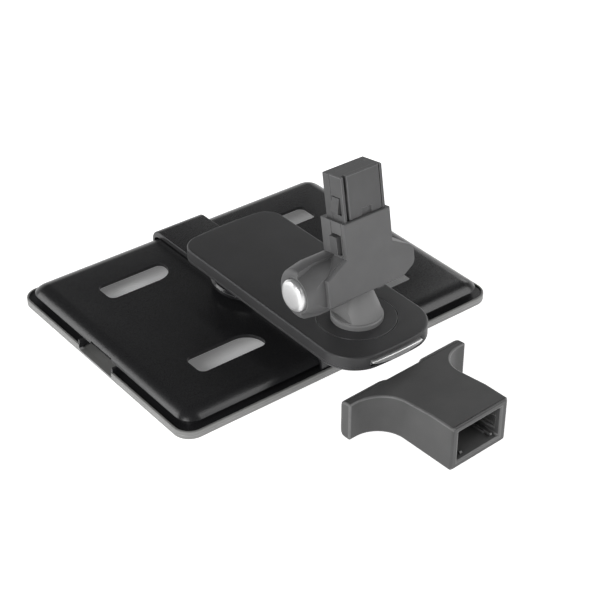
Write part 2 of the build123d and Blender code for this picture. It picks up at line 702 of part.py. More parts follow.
def tilt_spindle():
    end = BUTTON_FLOOR - SPINDLE_END
    return lean(rod(SPINDLE_R, -end, end))


def friction_washers():
    inner = KNUCKLE_W / 2 + SEAT
    ring = rod(FRICTION_R, inner, inner + FRICTION_T) - rod(SPINDLE_R + SEAT, 0, BARREL_W / 2)
    return lean(Compound([ring, mirror(ring, about=Plane.YZ)]))


# Push button
def tilt_button():
    outer = BARREL_END + BUTTON_PROUD
    flange_out = BARREL_END - BUTTON_LIP - AIR
    flange_in = flange_out - BUTTON_FLANGE_T
    head = rod(BUTTON_R, -outer, -flange_in)
    rim = head.faces().sort_by(Axis.X)[0].edges()
    head = fillet(rim, BUTTON_DOME)
    head += rod(BUTTON_R + BUTTON_FLANGE, -flange_out, -flange_in)
    return lean(head - rod(BUTTON_HOLLOW_R, BUTTON_FACE_T - outer, OVER - flange_in))


def button_spring():
    end = BARREL_END + BUTTON_PROUD - BUTTON_FACE_T - SPRING_WIRE
    start = BUTTON_FLOOR + SPRING_WIRE
    return lean(Pos(-start, 0, 0) * Rot(0, -90, 0) * spring(BUTTON_SPRING_R, end - start))


# Plug and latches
def latch_window(low, high, out):
    """Opening in a side wall, through which a latch reaches out."""
    front = LATCH_FRONT + WINDOW_FRONT
    return span(CHANNEL_OUT - OVER, out, -front, -HUB_SEAM, low - WINDOW_AIR, high + WINDOW_AIR)


def spring_seat():
    """Blind bore in the plug's middle web, which holds a latch's spring."""
    bore = rod(LATCH_SPRING_R + SPRING_WIRE + AIR, LATCH_SPRING_SEAT, CHANNEL_OUT)
    return Pos(0, -LATCH_MID, LATCH_SPRING_Z) * bore


def plug_block():
    """Outside of the plug, with the bores of the latch pins."""
    half = PLUG_W / 2
    block = span(-half, half, -PLUG_FRONT, PLUG_REAR, PLUG_FOOT, PLUG_TOP)
    block = chamfer(top_edges(block), PLUG_EDGE)
    bore = rod_y(LATCH_PIN_R + SEAT, -COVER_BACK, OVER, LATCH_X, LATCH_PIVOT)
    return block - both_sides(bore)


def plug_back():
    rear = span(-PLUG_W, PLUG_W, -HUB_SEAM, PLUG_REAR, PLUG_FOOT, PLUG_TOP)
    return lean((plug_block() & rear) - seam_groove(PLUG_W / 2, PLUG_FOOT, PLUG_TOP))


def plug_core():
    core = plug_block() & span(-PLUG_W, PLUG_W, -PLUG_FRONT, -HUB_SEAM, PLUG_FOOT, PLUG_TOP)
    # The part inside the hub stops behind the cover, the part above it has a recess for the plate
    core -= span(-PLUG_W, PLUG_W, -HUB_FRONT, -COVER_BACK + AIR, PLUG_FOOT - OVER, STEM_TOP)
    core -= span(-POST_IN, POST_IN, -HUB_FRONT, -PLATE_BACK, STEM_TOP - OVER, PLUG_TOP + OVER)
    channel = span(CHANNEL_WEB, CHANNEL_OUT, -HUB_FRONT, -HUB_SEAM, CHANNEL_FOOT, CHANNEL_TOP)
    channel += latch_window(PAD_LOW, PAD_HIGH, PLUG_W / 2 + OVER)
    channel += latch_window(BARB_LOW, BARB_HIGH, PLUG_W / 2 + OVER)
    channel += spring_seat()
    return lean(core - both_sides(channel))


def plug_plate():
    left = GROOVE_LEFT - POST_IN
    right = POST_IN - GROOVE_RIGHT
    plate = span(left, right, -PLUG_FRONT, -PLATE_BACK, STEM_TOP + AIR, PLUG_TOP)
    front = plate.faces().sort_by(Axis.Y)[0].edges()
    plate = chamfer(front, PLUG_EDGE)
    tab = span(-PLATE_TAB_W / 2, PLATE_TAB_W / 2, -PLUG_FRONT - OVER, -PLUG_FRONT + PLATE_TAB_DEPTH,
               STEM_TOP, STEM_TOP + PLATE_TAB_H)
    return lean(plate - Pos(PLATE_TAB_X, 0, 0) * tab)


def latch(side):
    inner = LATCH_X - LATCH_T / 2
    outer = LATCH_X + LATCH_T / 2
    outline = Polyline((inner, LATCH_PIVOT), (outer, LATCH_PIVOT), (outer, PAD_LOW), (PAD_OUT, PAD_LOW),
                       (PAD_OUT, PAD_HIGH), (outer, PAD_HIGH), (outer, BARB_LOW), (BARB_OUT, BARB_LOW),
                       (BARB_OUT, BARB_LOW + BARB_FLAT), (BARB_TIP, BARB_HIGH), (outer, BARB_HIGH),
                       (outer, LATCH_HEAD), (inner, LATCH_HEAD), close=True)
    arm = Pos(0, -LATCH_REAR, 0) * extrude(Plane.XZ * make_face(outline), LATCH_W)
    arm += rod_y(LATCH_PIN_R + LATCH_T / 2, -LATCH_FRONT, -LATCH_REAR, LATCH_X, LATCH_PIVOT)
    arm -= rod_y(LATCH_PIN_R + RUN, -LATCH_FRONT - OVER, -LATCH_REAR + OVER, LATCH_X, LATCH_PIVOT)
    return lean(arm if side > 0 else mirror(arm, about=Plane.YZ))


def latch_pins():
    pin = rod_y(LATCH_PIN_R, -COVER_BACK + AIR, OVER - SEAT, LATCH_X, LATCH_PIVOT)
    return lean(Compound([pin, mirror(pin, about=Plane.YZ)]))


def latch_spring(side):
    start = LATCH_SPRING_SEAT + SPRING_WIRE
    end = LATCH_X - LATCH_T / 2 - SPRING_WIRE
    coil = Pos(start, 0, 0) * Rot(0, 90, 0) * spring(LATCH_SPRING_R, end - start)
    return lean(Pos(0, -LATCH_MID, LATCH_SPRING_Z) * (coil if side > 0 else Rot(0, 0, 180) * coil))


# Headrest adapter
def adapter_plan():
    """Plan of the adapter: tube, hollow flanks and wings, mouth at Y = 0."""
    tube = ADAPTER_W / 2
    tip = ADAPTER_SPAN / 2
    wing = ADAPTER_L - ADAPTER_WING_T
    recess = ADAPTER_RECESS_W / 2
    right = [(tube, 0), (tube, wing), (tip, wing), (tip, ADAPTER_L), (recess + ADAPTER_RECESS, ADAPTER_L),
             (recess, ADAPTER_L - ADAPTER_RECESS)]
    left = [(-x, y) for x, y in reversed(right)]
    plan = make_face(Polyline(*right, *left, close=True))
    hollows = [v for v in plan.vertices() if abs(v.Y - wing) < SEAT and abs(abs(v.X) - tube) < SEAT]
    plan = fillet(hollows, ADAPTER_HOLLOW_R)
    tips = [v for v in plan.vertices() if abs(v.Y - ADAPTER_L) < SEAT and abs(abs(v.X) - tip) < SEAT]
    return fillet(tips, ADAPTER_TIP_R)


def adapter_side():
    """Side view of the adapter: its top falls towards a back with rounded edges."""
    outline = Polyline((0, 0), (ADAPTER_L, 0), (ADAPTER_L, ADAPTER_WING_H), (ADAPTER_FLAT, ADAPTER_H),
                       (0, ADAPTER_H), close=True)
    side = make_face(outline)
    return fillet(side.vertices().sort_by(Axis.X)[-2:], ADAPTER_BACK_R)


def headrest_adapter():
    body = extrude(adapter_plan(), ADAPTER_H)
    body = body & extrude(Plane.YZ * adapter_side(), ADAPTER_SPAN, both=True)
    body = fillet(body.faces().sort_by(Axis.Y)[0].edges(), ADAPTER_EDGE)
    low = (ADAPTER_H - SOCKET_H) / 2
    body -= span(-SOCKET_W / 2, SOCKET_W / 2, -OVER, SOCKET_DEPTH, low, low + SOCKET_H)
    mouth = Plane(origin=(0, 0, ADAPTER_H / 2), x_dir=(1, 0, 0), z_dir=(0, 1, 0))
    lead = Rectangle(SOCKET_W + 2 * SOCKET_LEAD, SOCKET_H + 2 * SOCKET_LEAD)
    body -= extrude(mouth * lead, SOCKET_LEAD_L, taper=math.degrees(math.atan2(SOCKET_LEAD, SOCKET_LEAD_L)))
    # Ribs for the plug's front grooves, and catches for the latch barbs
    for side, groove in ((1, GROOVE_LEFT), (-1, GROOVE_RIGHT)):
        left = side * (POST_IN - groove / 2) - groove / 4
        body += span(left, left + groove / 2, ADAPTER_EDGE, SOCKET_DEPTH, low, low + SOCKET_RIB_H)
    catch_z = low + SOCKET_AIR + PLUG_FRONT - LATCH_MID
    catch = span(SOCKET_W / 2 - OVER, SOCKET_W / 2 + SOCKET_CATCH,
                 BARB_LOW - STEM_TOP - AIR, BARB_HIGH - STEM_TOP + AIR,
                 catch_z - LATCH_W / 2 - AIR, catch_z + LATCH_W / 2 + AIR)
    body -= both_sides(catch)
    return Pos(ADAPTER_X, ADAPTER_Y, 0) * Rot(0, 0, ADAPTER_TURN) * body


PIECES = {
    "tray_shell": tray_shell,
    "tray_bezel": tray_bezel,
    "back_strap": back_strap,
    "tray_screws": tray_screws,
    "swivel_base": swivel_base,
    "swivel_washer": swivel_washer,
    "swivel_pin": swivel_pin,
    "swivel_nut": swivel_nut,
    "arm_cover": arm_cover,
    "arm_base": arm_base,
    "arm_screws": arm_screws,
    "release_tab": release_tab,
    "tab_springs": tab_springs,
    "turntable_washer": turntable_washer,
    "turntable_disc": turntable_disc,
    "turntable_retainer": turntable_retainer,
    "turntable_screws": turntable_screws,
    "neck": neck,
    "hub_cover": hub_cover,
    "hub_housing": hub_housing,
    "hub_back": hub_back,
    "hub_screws": hub_screws,
    "tilt_spindle": tilt_spindle,
    "friction_washers": friction_washers,
    "tilt_button": tilt_button,
    "button_spring": button_spring,
    "plug_core": plug_core,
    "plug_back": plug_back,
    "plug_plate": plug_plate,
    "latch_left": lambda: latch(-1),
    "latch_right": lambda: latch(1),
    "latch_pins": latch_pins,
    "latch_spring_left": lambda: latch_spring(-1),
    "latch_spring_right": lambda: latch_spring(1),
    "headrest_adapter": headrest_adapter,
}

os.makedirs("parts", exist_ok=True)
for name, make in PIECES.items():
    export_step(make(), f"parts/{name}.step")
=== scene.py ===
import json
import math

import bmesh
import bpy
from bpy.props import FloatProperty, FloatVectorProperty, PointerProperty
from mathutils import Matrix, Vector


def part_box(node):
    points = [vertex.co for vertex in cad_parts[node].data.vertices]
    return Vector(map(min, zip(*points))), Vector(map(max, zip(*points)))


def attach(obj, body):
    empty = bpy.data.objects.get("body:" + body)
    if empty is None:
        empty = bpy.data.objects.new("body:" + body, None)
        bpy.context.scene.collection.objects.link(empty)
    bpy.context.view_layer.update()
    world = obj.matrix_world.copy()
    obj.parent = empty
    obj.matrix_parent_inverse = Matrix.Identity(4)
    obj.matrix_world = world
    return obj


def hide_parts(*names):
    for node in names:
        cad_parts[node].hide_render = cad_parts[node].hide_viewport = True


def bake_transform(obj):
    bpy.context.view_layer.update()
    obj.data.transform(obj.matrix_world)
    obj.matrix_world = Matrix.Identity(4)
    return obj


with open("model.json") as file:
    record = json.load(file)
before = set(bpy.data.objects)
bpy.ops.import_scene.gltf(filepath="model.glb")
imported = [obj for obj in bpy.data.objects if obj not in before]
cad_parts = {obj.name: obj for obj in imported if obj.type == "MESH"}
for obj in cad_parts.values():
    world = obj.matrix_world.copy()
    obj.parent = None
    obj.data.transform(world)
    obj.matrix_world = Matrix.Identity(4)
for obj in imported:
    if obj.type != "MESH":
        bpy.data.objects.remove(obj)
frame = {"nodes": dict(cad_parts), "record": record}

bl_info = {
    "name": "Headrest tablet mount",
    "version": (1, 0, 0),
    "blender": (4, 5, 0),
    "location": "View3D > Sidebar > Tablet mount",
    "description": "Dresses the tray, arm, hub, plug and adapter of a headrest tablet mount",
    "category": "Object",
}

MM = 0.001
RECORD = frame["record"]
BODY_OF = {node: body for body, nodes in RECORD["behaviour"]["bodies"].items() for node in nodes}
SLOT_OF = {row["node"]: row["material_slot"] for row in RECORD["subparts"]}
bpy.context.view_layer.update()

# Cleaning and rounding of the copied pieces
MERGE = 0.002 * MM
FLAT_ANGLE = math.radians(0.6)
SHARP_ANGLE = math.radians(32)
EDGE_STEPS = 3

# Material slots of a piece after its own finish: its edges, made paler as a painted highlight, and the rim
# of the tray's shell, made pale grey as a painted reflection
PAINTED_HIGHLIGHT_SLOT = 1
RIM_SLOT = 2

# Way from each group's screw heads to their tips, in the part's frame
LEAN = math.radians(9.8)
SCREW_WAYS = {
    "tray_screws": Vector((0, 0, 1)),
    "arm_screws": Vector((0, 0, 1)),
    "turntable_screws": Vector((0, 0, 1)),
    "hub_screws": Vector((0, -math.cos(LEAN), math.sin(LEAN))),
}

# Screws: sides of their round shapes, and parts of the head's radius, its height and the recess's reach
HEAD_SIDES = 40
SHANK_SIDES = 28
PAN_TAPER = 0.82
PAN_HEIGHT = 0.4
SKIRT_HEIGHT = 0.6
SKIRT_MIDDLE = 0.7
RECESS_WIDTH = 0.42
RECESS_DEPTH = 1.3

# Body that each spring stands on, body that presses it, and the way from the first to the second
SPRINGS = {
    "tab_springs": ("arm", "release_tab", Vector((0, -1, 0))),
    "button_spring": ("hub", "tilt_button", Vector((-1, 0, 0))),
    "latch_spring_left": ("hub", "latch_left", Vector((-1, 0, 0))),
    "latch_spring_right": ("hub", "latch_right", Vector((1, 0, 0))),
}

# Rim of the tray's shell
RIM_TOP = 5.9 * MM
RIM_LIP = 1.5 * MM
TRAY_CORNER = 12.0 * MM

# Palest painted highlight along an edge
PALEST_HIGHLIGHT = 0.30

# Range in which most values of a noise lie
NOISE_LOW = 0.3
NOISE_HIGH = 0.7

# Surfaces: patches of colour in waves a metre, detail of patches and grain, spread of roughness, and bump
PLASTIC = {
    "patches": 60.0, "patch_detail": 3.0, "grain_detail": 2.0,
    "smoother": 0.05, "rougher": 0.05, "bump": 0.6,
}
METAL = {
    "patches": 140.0, "patch_detail": 2.0, "grain_detail": 3.0,
    "smoother": 0.05, "rougher": 0.06, "bump": 0.4,
}
METAL_MOTTLE = 0.04

# Plastics by slot: material, colour among the finishes, roughness, grain in waves a metre, its depth,
# mottling and specular level
PLASTICS = {
    "shell_black": ("shell_satin_black", "shell", 0.28, 3600.0, 0.012 * MM, 0.06, 0.5),
    # The rim's pale grey is a painted reflection on black plastic
    "rim_black": ("rim_satin_black", "rim", 0.42, 3600.0, 0.012 * MM, 0.06, 0.5),
    "base_gloss": ("swivel_base_gloss", "shell", 0.16, 2200.0, 0.004 * MM, 0.05, 0.5),
    "arm_charcoal": ("arm_matte_charcoal", "arm", 0.45, 2600.0, 0.030 * MM, 0.08, 0.45),
    "hub_charcoal": ("hub_matte_charcoal", "hub", 0.50, 2200.0, 0.040 * MM, 0.08, 0.4),
    "neck_grey": ("neck_matte_grey", "neck", 0.45, 2400.0, 0.030 * MM, 0.07, 0.45),
    "plug_charcoal": ("plug_matte_charcoal", "plug", 0.50, 2400.0, 0.032 * MM, 0.08, 0.4),
    "adapter_charcoal": ("adapter_matte_charcoal", "adapter", 0.45, 2200.0, 0.040 * MM, 0.08, 0.4),
    "washer_white": ("washer_nylon", "nylon", 0.5, 1500.0, 0.010 * MM, 0.04, 0.5),
}

# Metals by slot: material, colour among the finishes, roughness, grain in waves a metre, its depth,
# and how metallic it is
METALS = {
    "silver": ("silver_coating", "silver", 0.34, 1800.0, 0.006 * MM, 0.75),
    "screw_steel": ("zinc_plated_steel", "steel", 0.30, 2400.0, 0.006 * MM, 1.0),
    "spring_steel": ("spring_wire", "steel", 0.26, 3000.0, 0.004 * MM, 1.0),
}

# Camera fitted to the photograph, in the part's frame
EYE = Vector((-509.7, -697.5, 583.2)) * MM
LOOK_AT = Vector((23.67, -18.19, 0.0)) * MM
FOCAL_PIXELS = 1543.0
FRAME_PIXELS = 600.0
SENSOR = 36.0
NEAR_CLIP = 10 * MM

# Elevations between which the studio's walls fade into the ceiling
WALL_LOW = math.radians(12)
WALL_HIGH = math.radians(30)

# Softboxes: name, power among the stage's settings, place, width and height; all face one point
SOFTBOXES = (
    ("softbox_right", "key", (0.85, -0.80, 0.95), 0.9, 0.9),
    ("softbox_left", "fill", (-1.25, -0.50, 0.75), 0.7, 0.7),
    ("softbox_back", "back", (-1.10, 1.10, 0.75), 0.9, 0.5),
    ("softbox_sheen", "sheen", (1.30, 0.55, 0.78), 0.6, 0.4),
)
LIT_POINT = Vector((0.0, -0.05, 0.03))

# Half lengths of the floor, and of its patch under the tray
FLOOR_HALF = (4.0, 4.0)
PATCH_HALF = (0.119, 0.092)


class TabletMountFinish(bpy.types.PropertyGroup):
    """Colours of the mouldings and metal pieces"""

    shell: FloatVectorProperty(
        name="Shell", description="Satin plastic of the tray's back", subtype="COLOR",
        size=3, default=(0.015, 0.015, 0.016), min=0, max=1)
    # Painted reflection: the black bezel and the shell's rim are given pale grey for the light their sides
    # reflect
    rim: FloatVectorProperty(
        name="Rim", description="Bezel round the screen side", subtype="COLOR",
        size=3, default=(0.20, 0.20, 0.195), min=0, max=1)
    arm: FloatVectorProperty(
        name="Arm", description="Fine matte plastic of the arm and turntable", subtype="COLOR",
        size=3, default=(0.029, 0.029, 0.030), min=0, max=1)
    hub: FloatVectorProperty(
        name="Hub", description="Matte plastic of the tilting hub", subtype="COLOR",
        size=3, default=(0.093, 0.093, 0.094), min=0, max=1)
    neck: FloatVectorProperty(
        name="Neck", description="Matte plastic of the neck", subtype="COLOR",
        size=3, default=(0.17, 0.17, 0.17), min=0, max=1)
    plug: FloatVectorProperty(
        name="Plug", description="Matte plastic of the plug and latches", subtype="COLOR",
        size=3, default=(0.065, 0.065, 0.066), min=0, max=1)
    adapter: FloatVectorProperty(
        name="Adapter", description="Matte plastic of the headrest adapter", subtype="COLOR",
        size=3, default=(0.060, 0.060, 0.060), min=0, max=1)
    silver: FloatVectorProperty(
        name="Silver", description="Coating of the push buttons and release tab", subtype="COLOR",
        size=3, default=(0.72, 0.72, 0.72), min=0, max=1)
    # Painted highlight: how many times paler the rounded edges are made, standing in for the light they
    # catch
    worn: FloatProperty(
        name="Painted edge highlight", description="How many times paler the mouldings are along their edges",
        default=2.0, min=1, max=10)
    steel: FloatVectorProperty(
        name="Steel", description="Screws, pins and springs", subtype="COLOR",
        size=3, default=(0.52, 0.52, 0.54), min=0, max=1)
    nylon: FloatVectorProperty(
        name="Nylon", description="Washers inside the swivels", subtype="COLOR",
        size=3, default=(0.70, 0.70, 0.67), min=0, max=1)


class TabletMountShape(bpy.types.PropertyGroup):
    """Edge roundings, the reach of the plug's plate and the sizes of the screws"""

    broad_edge: FloatProperty(
        name="Broad edge", description="Rounding of the adapter's edges",
        default=1.2 * MM, min=0, max=3 * MM, unit="LENGTH")
    soft_edge: FloatProperty(
        name="Soft edge", description="Rounding of large mouldings",
        default=0.55 * MM, min=0, max=2 * MM, unit="LENGTH")
    crisp_edge: FloatProperty(
        name="Crisp edge", description="Rounding of small pieces",
        default=0.35 * MM, min=0, max=2 * MM, unit="LENGTH")
    plate_reach: FloatProperty(
        name="Plate reach",
        description="How much closer the plug's front plate comes to the plug's right edge",
        default=0.8 * MM, min=0, max=2 * MM, unit="LENGTH")
    screw_head: FloatProperty(
        name="Screw head", description="Radius of the screw heads",
        default=2.85 * MM, min=0, max=5 * MM, unit="LENGTH")
    screw_head_height: FloatProperty(
        name="Screw head height", description="Height of the screw heads",
        default=1.2 * MM, min=0, max=5 * MM, unit="LENGTH")
    screw_shank: FloatProperty(
        name="Screw shank", description="Radius of the screws' shanks",
        default=1.45 * MM, min=0, max=5 * MM, unit="LENGTH")
    screw_recess: FloatProperty(
        name="Screw recess", description="Reach of the cross recess from the screw's axis",
        default=1.6 * MM, min=0, max=5 * MM, unit="LENGTH")


class TabletMountStage(bpy.types.PropertyGroup):
    """Floor and light"""

    floor: FloatVectorProperty(
        name="Floor", description="Plain pale floor", subtype="COLOR",
        size=3, default=(0.90, 0.90, 0.90), min=0, max=1)
    glow: FloatProperty(
        name="Floor glow", description="Light that comes up through the floor round the tray",
        default=0.74, min=0, max=20)
    horizon: FloatProperty(
        name="Horizon", description="Brightness of the studio's walls", default=0.95, min=0, max=5)
    zenith: FloatProperty(
        name="Zenith", description="Brightness of the studio's ceiling", default=0.05, min=0, max=5)
    key: FloatProperty(
        name="Key light", description="Softbox in front on the right",
        default=8.0, min=0, max=500, unit="POWER")
    back: FloatProperty(
        name="Back light", description="Softbox behind on the left",
        default=6.0, min=0, max=500, unit="POWER")
    fill: FloatProperty(
        name="Fill light", description="Softbox in front on the left",
        default=11.0, min=0, max=500, unit="POWER")
    sheen: FloatProperty(
        name="Sheen light", description="Softbox behind on the right, which shines on the tray's right end",
        default=2.5, min=0, max=500, unit="POWER")
    under: FloatProperty(
        name="Floor under the tray", description="Light of the floor that shows through the slots",
        default=0.13, min=0, max=20)


# Materials
def new_material(name, colour):
    """A new material with its nodes, links and shader."""
    material = bpy.data.materials.new(name)
    material.use_nodes = True
    material.diffuse_color = (*colour, 1.0)
    nodes = material.node_tree.nodes
    return material, nodes, material.node_tree.links, nodes["Principled BSDF"]


def noise(nodes, links, coords, scale, detail):
    """Noise on the piece's own coordinates, with a scale in waves a metre."""
    texture = nodes.new("ShaderNodeTexNoise")
    texture.inputs["Scale"].default_value = scale
    texture.inputs["Detail"].default_value = detail
    links.new(coords.outputs["Object"], texture.inputs["Vector"])
    return texture


def remap(nodes, links, texture, low, high):
    """Spreads a noise over a range of values."""
    spread = nodes.new("ShaderNodeMapRange")
    spread.inputs["From Min"].default_value = NOISE_LOW
    spread.inputs["From Max"].default_value = NOISE_HIGH
    spread.inputs["To Min"].default_value = low
    spread.inputs["To Max"].default_value = high
    links.new(texture.outputs["Fac"], spread.inputs["Value"])
    return spread.outputs["Result"]


def tinted(nodes, links, texture, colour, spread):
    """The colour, a little lighter and darker in patches."""
    ramp = nodes.new("ShaderNodeValToRGB")
    dark, light = ramp.color_ramp.elements
    dark.position = NOISE_LOW
    light.position = NOISE_HIGH
    dark.color = (*[channel * (1 - spread) for channel in colour], 1)
    light.color = (*[channel * (1 + spread) for channel in colour], 1)
    links.new(texture.outputs["Fac"], ramp.inputs["Fac"])
    return ramp.outputs["Color"]


def grained(name, colour, roughness, grain, depth, mottle, surface):
    """Material with patches of colour and a fine grain, given by its waves a metre and its depth."""
    material, nodes, links, shader = new_material(name, colour)
    coords = nodes.new("ShaderNodeTexCoord")
    patches = noise(nodes, links, coords, surface["patches"], surface["patch_detail"])
    fine = noise(nodes, links, coords, grain, surface["grain_detail"])
    links.new(tinted(nodes, links, patches, colour, mottle), shader.inputs["Base Color"])
    low = roughness - surface["smoother"]
    high = roughness + surface["rougher"]
    links.new(remap(nodes, links, fine, low, high), shader.inputs["Roughness"])
    bump = nodes.new("ShaderNodeBump")
    bump.inputs["Strength"].default_value = surface["bump"]
    bump.inputs["Distance"].default_value = depth
    links.new(fine.outputs["Fac"], bump.inputs["Height"])
    links.new(bump.outputs["Normal"], shader.inputs["Normal"])
    return material, shader


def moulded_plastic(name, colour, roughness, grain, depth, mottle, specular):
    """Moulded plastic with a spark-eroded grain."""
    material, shader = grained(name, colour, roughness, grain, depth, mottle, PLASTIC)
    shader.inputs["Specular IOR Level"].default_value = specular
    return material


def coated_metal(name, colour, roughness, grain, depth, metallic):
    """Satin metal or metallic paint with a fine orange peel."""
    material, shader = grained(name, colour, roughness, grain, depth, METAL_MOTTLE, METAL)
    shader.inputs["Metallic"].default_value = metallic
    return material


def make_finishes(finish):
    """Every finish of the mount, by its slot in the record."""
    made = {}
    for slot, (name, colour, *numbers) in PLASTICS.items():
        made[slot] = moulded_plastic(name, getattr(finish, colour), *numbers)
    for slot, (name, colour, *numbers) in METALS.items():
        made[slot] = coated_metal(name, getattr(finish, colour), *numbers)
    return made


FINISHES = {}
PAINTED_HIGHLIGHT = {}


def finish_of(slot):
    """Finish of a slot; all are made when the first is asked for."""
    if not FINISHES:
        FINISHES.update(make_finishes(bpy.context.scene.mount_finish))
    return FINISHES[slot]


def painted_highlight_of(slot):
    """Finish of a slot's edges: smoother, and paler as a painted highlight of the light they catch."""
    if slot not in PAINTED_HIGHLIGHT:
        plain = finish_of(slot)
        worn = bpy.context.scene.mount_finish.worn
        # Painted highlight: the plain colour made paler along the edges
        colour = [min(channel * worn, PALEST_HIGHLIGHT) for channel in plain.diffuse_color[:3]]
        PAINTED_HIGHLIGHT[slot] = moulded_plastic(
            plain.name + "_worn", colour,
            roughness=0.32, grain=1400.0, depth=0.008 * MM, mottle=0.15, specular=0.5)
    return PAINTED_HIGHLIGHT[slot]


# Pieces
def link(obj):
    """Puts a new object into the scene."""
    bpy.context.scene.collection.objects.link(obj)
    return obj


def clean_mesh(node, name):
    """Copy of a CAD node's mesh with its triangles merged into whole faces."""
    mesh = frame["nodes"][node].data.copy()
    mesh.name = name
    faces = bmesh.new()
    faces.from_mesh(mesh)
    bmesh.ops.remove_doubles(faces, verts=faces.verts, dist=MERGE)
    bmesh.ops.dissolve_limit(faces, angle_limit=FLAT_ANGLE, verts=faces.verts, edges=faces.edges)
    for face in faces.faces:
        face.smooth = True
    faces.to_mesh(mesh)
    faces.free()
    mesh.materials.clear()
    mesh.set_sharp_from_angle(angle=SHARP_ANGLE)
    return mesh


def settle(piece, node):
    """Gives a finished piece its material and its body, and hides the CAD node that it stands for."""
    if not piece.data.materials:
        piece.data.materials.append(finish_of(SLOT_OF[node]))
    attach(piece, BODY_OF[node])
    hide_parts(node)


def dress(node, edge, clamped=True):
    """Rounded, smoothly shaded copy of a CAD node, in its finish.

    A clamped rounding is held back by small details. A free one can fold over them.
    """
    piece = link(bpy.data.objects.new(node + "_dressed", clean_mesh(node, node + "_dressed")))
    rounding = piece.modifiers.new("rounded edges", "BEVEL")
    rounding.width = edge
    rounding.segments = EDGE_STEPS
    rounding.limit_method = "ANGLE"
    rounding.angle_limit = SHARP_ANGLE
    rounding.harden_normals = True
    rounding.use_clamp_overlap = clamped
    settle(piece, node)
    # The rounded edges take the paler finish, a painted highlight
    if SLOT_OF[node] != "silver":
        piece.data.materials.append(painted_highlight_of(SLOT_OF[node]))
        rounding.material = PAINTED_HIGHLIGHT_SLOT
    return piece


def outside(point, half_x, half_y, corner):
    """Distance of a point from a rounded rectangle about the origin, less than nothing inside."""
    over_x = abs(point.x) - half_x + corner
    over_y = abs(point.y) - half_y + corner
    return math.hypot(max(over_x, 0), max(over_y, 0)) + min(max(over_x, over_y), 0) - corner


def dress_shell(edge):
    """The tray's shell, with its rim in the bezel's finish, whose pale grey is a painted reflection."""
    mesh = dress("tray_shell", edge).data
    mesh.materials.append(finish_of(SLOT_OF["tray_bezel"]))
    low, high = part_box("tray_shell")
    half_x = (high[0] - low[0]) / 2
    half_y = (high[1] - low[1]) / 2
    rim = {
        vert.index for vert in mesh.vertices
        if vert.co.z < RIM_TOP and outside(vert.co, half_x, half_y, TRAY_CORNER) > -RIM_LIP}
    # The shell's rim faces take the bezel's pale grey, a painted reflection
    for face in mesh.polygons:
        if rim.issuperset(face.vertices):
            face.material_index = RIM_SLOT


# Screws
def add_node(tree, kind, **settings):
    """New node of a tree, with its settings and the values of its inputs."""
    node = tree.nodes.new(kind)
    for name, value in settings.items():
        if hasattr(node, name):
            setattr(node, name, value)
        else:
            node.inputs[name.replace("_", " ")].default_value = value
    return node


